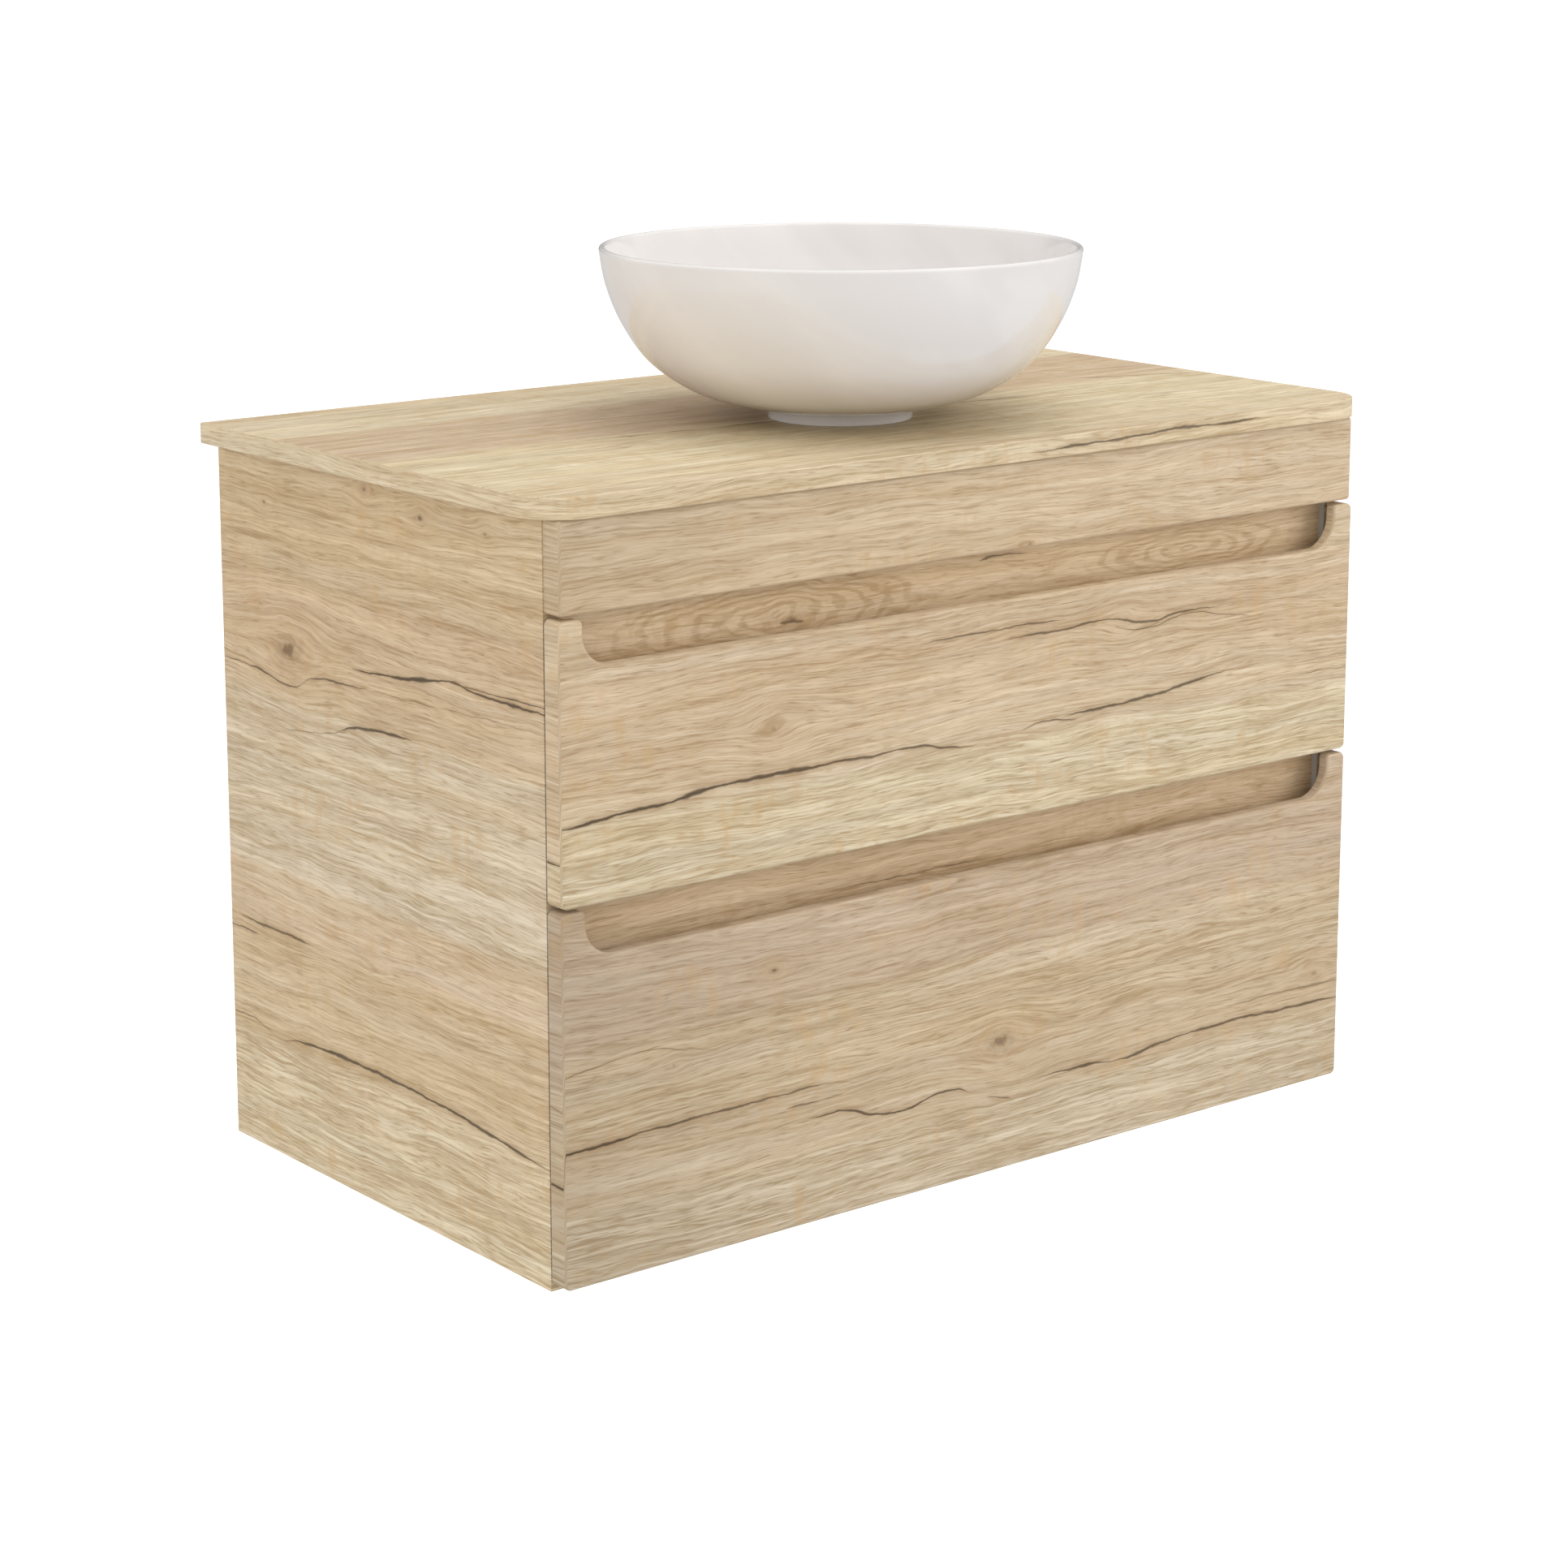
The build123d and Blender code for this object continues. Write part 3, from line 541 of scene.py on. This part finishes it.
def surface(name, light, dark, marks, relief, roughness, metallic=0.0):
    """A finish that varies between two colours in marks of the given size in millimetres. The marks
    are slanted, so that they show on every face. roughness: its middle value and how far it varies."""
    made, g, shader = material(name)
    x, y, z = g.place()
    length, width = marks
    along = g.add(x, g.mul(y, 0.83))
    across = g.add(z, g.mul(y, 0.37))
    cloud = g.noise(along, across, length * 9, width * 9, 1.0, detail=3.0)
    grain = g.noise(along, across, length, width, 2.0, detail=4.0, roughness=0.65)
    blend = g.fade(g.add(g.mul(cloud, 0.6), g.mul(grain, 0.4)), 0.34, 0.66)
    g.feed(shader.inputs["Base Color"], g.mix(blend, linear(dark), linear(light)))
    mid, vary = roughness
    g.feed(shader.inputs["Roughness"], g.math("MULTIPLY_ADD", grain, 2 * vary, mid - vary))
    shader.inputs["Metallic"].default_value = metallic
    bump(g, shader, grain, relief, 0.7)
    return made


# Each finish: light and dark colour, size of its marks, relief, (roughness, its variation), metallic.
FINISHES = {
    "grey_melamine": ((184, 180, 173), (172, 167, 160), (14, 1.6), 0.05, (0.45, 0.08)),
    "beech_dowel": ((214, 178, 134), (186, 146, 102), (9, 0.7), 0.08, (0.6, 0.08)),
    "zinc_cam": ((176, 178, 180), (140, 143, 147), (3, 3), 0.04, (0.36, 0.1), 1.0),
    "zinc_screw": ((190, 190, 186), (150, 150, 148), (2, 2), 0.03, (0.3, 0.08), 1.0),
    "galvanised_steel": ((182, 186, 190), (148, 153, 160), (5, 3), 0.03, (0.34, 0.1), 1.0),
    "cage_plastic": ((96, 98, 102), (70, 72, 76), (4, 4), 0.03, (0.4, 0.06)),
    "grey_plastic": ((118, 120, 123), (100, 102, 105), (1.1, 1.1), 0.06, (0.48, 0.06)),
    "bumper_rubber": ((206, 206, 202), (184, 184, 180), (1, 1), 0.04, (0.62, 0.06)),
    "silicone": ((222, 222, 218), (204, 204, 200), (5, 5), 0.05, (0.34, 0.06)),
    "black_rubber": ((42, 42, 43), (26, 26, 27), (1.5, 1.5), 0.06, (0.6, 0.08)),
    "chrome": ((232, 234, 236), (212, 215, 219), (18, 18), 0.004, (0.07, 0.03), 1.0),
    "brass_nut": ((196, 164, 96), (158, 126, 66), (3, 3), 0.04, (0.32, 0.08), 1.0),
    "white_plastic": ((238, 238, 234), (226, 226, 221), (3, 3), 0.03, (0.33, 0.06)),
}


def glaze():
    """Glossy sanitary glaze: almost even in colour, with the faint waviness of a fired surface."""
    made, g, shader = material("white_glaze")
    x, y, z = g.place()
    cloud = g.noise(g.add(x, g.mul(z, 0.7)), g.sub(y, g.mul(z, 0.7)), 70, 70, 3.0, detail=3.0)
    pinholes = g.noise(g.add(x, z), g.sub(y, z), 2.2, 2.2, 4.0, detail=2.0)
    tone = g.mix(g.fade(cloud, 0.35, 0.65), linear((224, 220, 217)), linear((229, 225, 222)))
    g.feed(shader.inputs["Base Color"], tone)
    g.feed(shader.inputs["Roughness"], g.math("MULTIPLY_ADD", pinholes, 0.04, 0.06))
    shader.inputs["Coat Weight"].default_value = 0.25
    shader.inputs["Coat Roughness"].default_value = 0.03
    bump(g, shader, g.add(cloud, g.mul(pinholes, 0.03)), 0.10, 0.10)
    return made


# --- Meshes ---


def lathe(name, profile, centre, segments=160, along="Z", ribs=0, rib_depth=0.0, rib_from=0.0):
    """A smooth turned mesh from a closed ring of (radius, height) points in millimetres.
    Points farther out than rib_from are cut into ribs."""
    mesh = bpy.data.meshes.new(name)
    shape = bmesh.new()
    rings = []
    for radius, height in profile:
        ring = []
        for number in range(segments):
            turn = math.tau * number / segments
            wave = 0.5 - 0.5 * math.cos(ribs * turn)
            reach = radius - (rib_depth * wave ** 2 if radius > rib_from else 0.0)
            flat = (reach * math.cos(turn), reach * math.sin(turn))
            offset = (*flat, height) if along == "Z" else (flat[0], height, flat[1])
            ring.append(shape.verts.new([(c + o) / 1000 for c, o in zip(centre, offset)]))
        rings.append(ring)
    for lower, upper in zip(rings, rings[1:] + rings[:1]):
        for number in range(segments):
            after = (number + 1) % segments
            shape.faces.new((lower[number], lower[after], upper[after], upper[number]))
    bmesh.ops.remove_doubles(shape, verts=shape.verts, dist=1e-6)
    bmesh.ops.recalc_face_normals(shape, faces=shape.faces)
    shape.to_mesh(mesh)
    shape.free()
    for face in mesh.polygons:
        face.use_smooth = True
    made = bpy.data.objects.new(name, mesh)
    bpy.context.collection.objects.link(made)
    return made


def soft_tube(inner, outer, low, high, soft=1.0):
    """The profile of a tube or nut whose outer and inner edges are rounded by soft millimetres."""
    cut = 0.3 * soft
    return [
        (outer - soft, low), (outer - cut, low + cut), (outer, low + soft),
        (outer, high - soft), (outer - cut, high - cut), (outer - soft, high),
        (inner + cut, high), (inner, high - cut), (inner, low + cut), (inner + cut, low),
    ]


def smooth_line(points, steps=8):
    """Points on a Catmull-Rom line through the given points."""
    line = []
    padded = [points[0], *points, points[-1]]
    for a, b, c, d in zip(padded, padded[1:], padded[2:], padded[3:]):
        for step in range(steps):
            u = step / steps
            weights = (
                u * (-1 + u * (2 - u)) / 2, 1 + u * u * (3 * u - 5) / 2,
                u * (1 + u * (4 - 3 * u)) / 2, u * u * (u - 1) / 2,
            )
            line.append(tuple(sum(w * n for w, n in zip(weights, near)) for near in zip(a, b, c, d)))
    return line + [points[-1]]


def arc(centre, radius, start, end, steps=10):
    """Points on a circular arc, in degrees."""
    turns = [math.radians(start + (end - start) * i / steps) for i in range(steps + 1)]
    return [(centre[0] + radius * math.cos(a), centre[1] + radius * math.sin(a)) for a in turns]


def basin():
    """The bowl, turned as one glazed skin with a soft rim and a ring foot."""
    low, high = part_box("basin_bowl")
    centre = ((low[0] + high[0]) * 500, (low[1] + high[1]) * 500, low[2] * 1000)
    rim = 133.0
    outside = [
        (56.5, 9.0), (60.0, 10.3), (85.0, 13.0), (118.0, 24.0), (149.2, 46.0),
        (169.4, 75.0), (181.1, 104.0), (186.0, 130.5),
    ]
    inside = [
        (181.0, 130.5), (175.4, 104.0), (162.6, 75.5), (140.0, 48.0),
        (106.0, 29.0), (64.0, 20.6), (38.0, 19.1),
    ]
    profile = [(22.6, 6.2), (43.6, 6.2), (46.2, 0.4), (47.0, 0.0), (55.2, 0.0), (56.1, 0.3), (56.5, 1.2)]
    profile += smooth_line(outside) + arc((183.5, rim - 2.5), 2.5, 0, 180)[1:-1] + smooth_line(inside)
    profile += arc((35.5, 16.9), 2.2, 80, 180, 6) + [(22.6, 16.8)]
    return lathe("basin_glazed_bowl", profile, centre, 192)


def middle(node):
    """The centre of a node's box in millimetres."""
    low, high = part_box(node)
    return [(a + b) * 500 for a, b in zip(low, high)]


def waste_plug():
    """The push plug: a slightly domed chrome disc on its stem."""
    x, y, _ = middle("waste_cap")
    profile = [
        (0.0, 550.0), (3.2, 550.0), (4.0, 550.8), (4.0, 590.6), (5.0, 592.8), (7.5, 593.6),
        (27.2, 593.6), (28.5, 593.9), (29.0, 594.7), (28.8, 595.5), (27.6, 596.4), (24.0, 597.0),
        (14.0, 597.45), (0.0, 597.6),
    ]
    return lathe("waste_plug", profile, (x, y, BASE), 96)


def trap_pieces():
    """The bottle trap and its pipes, with ribbed nuts and rounded mouldings."""
    x, y, _ = middle("trap_bottle")
    axis = (x, y, BASE)
    outlet = (x, 0.0, BASE + 424.0)
    bottle = [
        (0.0, 328.0), (14.0, 328.0), (17.2, 328.6), (18.0, 330.0), (18.4, 333.0), (24.5, 334.6),
        (27.4, 337.0), (28.0, 340.5), (28.0, 394.0), (25.0, 394.0), (25.0, 341.0), (23.0, 338.4),
        (0.0, 338.0),
    ]
    drum = [
        (28.0, 394.0), (28.0, 441.0), (27.2, 444.2), (25.0, 446.0), (21.2, 447.0), (20.0, 448.5),
        (20.0, 458.0), (16.2, 458.0), (16.2, 443.0), (25.0, 441.0), (25.0, 394.0),
    ]
    stub = [(19.0, y + 62), (16.2, y + 62), (16.2, y + 24), (21.5, y + 24), (19.6, y + 29), (19.0, y + 33)]
    pipe = soft_tube(14.5, 16.0, y + 40, -0.1, 0.5)
    pipe[3:3] = [(16.0, -44.0), (17.4, -43.0), (17.5, -41.5), (17.4, -40.4), (16.0, -40.0)]
    union = soft_tube(28.1, 34.0, 384, 403, 2.0)
    top_nut = soft_tube(16.1, 27.0, 470, 492, 1.6)
    neck_nut = soft_tube(16.1, 26.0, 448, 463, 1.6)
    outlet_nut = soft_tube(16.1, 25.0, y + 46, y + 67, 1.6)
    ribs = dict(segments=192, ribs=16, rib_depth=1.6)
    return {
        "trap_bottle": [lathe("trap_bottle_shell", bottle, axis, 96)],
        "trap_head": [
            lathe("trap_head_drum", drum, axis, 96),
            lathe("trap_head_stub", stub, outlet, 72, along="Y"),
        ],
        "trap_outlet_pipe": [lathe("trap_outlet_tube", pipe, outlet, 72, along="Y")],
        "trap_tailpiece": [lathe("trap_tail_tube", soft_tube(14.5, 16.0, 360, 500, 0.5), axis, 72)],
        "trap_union_nut": [
            lathe("trap_union_ring", union, axis, segments=240, ribs=20, rib_depth=1.8, rib_from=31.0),
        ],
        "trap_nuts": [
            lathe("trap_nut_top", top_nut, axis, rib_from=24.5, **ribs),
            lathe("trap_nut_neck", neck_nut, axis, rib_from=23.5, **ribs),
            lathe("trap_nut_outlet", outlet_nut, outlet, along="Y", rib_from=22.5, **ribs),
        ],
    }


def put(pieces, node, body, slot, materials):
    """Lets new pieces stand for a CAD node, in the material of its slot."""
    for piece in pieces:
        piece.data.materials.append(materials[slot])
        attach(piece, body)
        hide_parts(node)


def soften(node, width):
    """Rounds a pressed or moulded node's sharp edges."""
    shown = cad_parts[node]
    weld = shown.modifiers.new("weld", "WELD")
    weld.merge_threshold = 1e-6
    bevel = shown.modifiers.new("soft_edges", "BEVEL")
    bevel.width = width / 1000
    bevel.segments = 2
    bevel.limit_method = "ANGLE"
    bevel.angle_limit = math.radians(50)
    bevel.harden_normals = False


# --- Stage, light and camera ---


def stage():
    """A wide pale floor well under the unit, which glows so that the camera sees it white."""
    mesh = bpy.data.meshes.new("floor")
    reach, level = 30.0, -1.05
    corners = [(-reach, -reach, level), (reach, -reach, level), (reach, reach, level), (-reach, reach, level)]
    mesh.from_pydata(corners, [], [(0, 1, 2, 3)])
    floor = bpy.data.objects.new("floor", mesh)
    bpy.context.collection.objects.link(floor)
    made, g, shader = material("pale_floor")
    x, y, _ = g.place()
    speckle = g.noise(x, y, 900, 900, 1.0, detail=3.0)
    seen = g.node("ShaderNodeLightPath").outputs["Is Camera Ray"]
    g.feed(shader.inputs["Base Color"], g.mix(speckle, (0.60, 0.60, 0.60, 1.0), (0.64, 0.64, 0.64, 1.0)))
    shader.inputs["Roughness"].default_value = 0.9
    shader.inputs["Specular IOR Level"].default_value = 0.1
    shader.inputs["Emission Color"].default_value = (1.0, 1.0, 1.0, 1.0)
    glow, more_if_seen = 0.08, 0.60
    g.feed(shader.inputs["Emission Strength"], g.math("MULTIPLY_ADD", seen, more_if_seen, glow))
    mesh.materials.append(made)


def softbox(name, place, target, size, power):
    """A large white area light, unseen by the camera and in reflections."""
    light = bpy.data.lights.new(name, "AREA")
    light.shape = "RECTANGLE"
    light.size, light.size_y = size
    light.energy = power
    lamp = bpy.data.objects.new(name, light)
    bpy.context.collection.objects.link(lamp)
    lamp.location = place
    aim = [b - a for a, b in zip(place, target)]
    lamp.rotation_euler = Vector(aim).to_track_quat("-Z", "Y").to_euler()
    lamp.visible_camera = False
    lamp.visible_glossy = False


def lighting():
    """A white surround, and large soft lights to the left, right and above. Reflections see the
    surround dimmed, most of all on the side behind the unit, which gives the glaze its darker edges."""
    world = bpy.data.worlds.new("studio")
    bpy.context.scene.world = world
    world.use_nodes = True
    g = Graph(world.node_tree)
    background = world.node_tree.nodes["Background"]
    background.inputs["Color"].default_value = (1.0, 1.0, 1.0, 1.0)
    path = g.node("ShaderNodeLightPath")
    seen, mirrored = path.outputs["Is Camera Ray"], path.outputs["Is Glossy Ray"]
    way = g.node("ShaderNodeSeparateXYZ")
    g.feed(way.inputs[0], g.node("ShaderNodeTexCoord").outputs["Generated"])
    dim_x, dim_y = 0.62, 0.78
    beyond = g.add(g.mul(way.outputs[0], dim_x), g.mul(way.outputs[1], dim_y))
    around, behind = 0.25, 0.65
    dimmed = g.fade(beyond, 0.52, 0.60, around, behind)
    lit, more_if_seen = 0.88, 0.14
    strength = g.sub(g.math("MULTIPLY_ADD", seen, more_if_seen, lit), g.mul(mirrored, dimmed))
    g.feed(background.inputs["Strength"], strength)
    target = (0.0, -0.25, -0.15)
    for name, place, size, power in (
        ("left_light", (-3.6, -1.0, 0.4), (2.2, 2.2), 29.0),
        ("front_light", (2.4, -2.9, 1.0), (2.6, 1.8), 39.0),
        ("top_light", (0.2, -0.8, 2.9), (2.4, 1.8), 30.0),
    ):
        softbox(name, place, target, size, power)
    bpy.context.scene.view_settings.view_transform = "Standard"
    bpy.context.scene.view_settings.look = "None"


def camera():
    """The photograph's view: from the front left and above, with a long lens."""
    data = bpy.data.cameras.new("camera")
    data.lens = 84.9
    data.sensor_width = 36.0
    data.shift_y = -0.12
    made = bpy.data.objects.new("camera", data)
    bpy.context.collection.objects.link(made)
    made.location = (-1.798, -2.475, 0.483)
    downward, to_the_right = 11.12, 38.43
    made.rotation_euler = (math.radians(90 - downward), 0.0, math.radians(-to_the_right))
    bpy.context.scene.camera = made


def dress(materials):
    """Gives every carried-over CAD node the material of its slot."""
    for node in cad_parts.values():
        for slot in node.material_slots:
            name = slot.material.name.split(".")[0]
            slot.material = materials[name]


materials = {name: oak(name, **choices) for name, choices in BOARDS.items()}
materials.update({name: surface(name, *finish) for name, finish in FINISHES.items()})
materials["white_glaze"] = glaze()
dress(materials)

put([basin()], "basin_bowl", "cabinet", "white_glaze", materials)
put([waste_plug()], "waste_cap", "waste_cap", "chrome", materials)
for node, pieces in trap_pieces().items():
    put(pieces, node, "cabinet", "white_plastic", materials)
for node in ("hanger_left", "hanger_right"):
    soften(node, 1.2)

stage()
lighting()
camera()
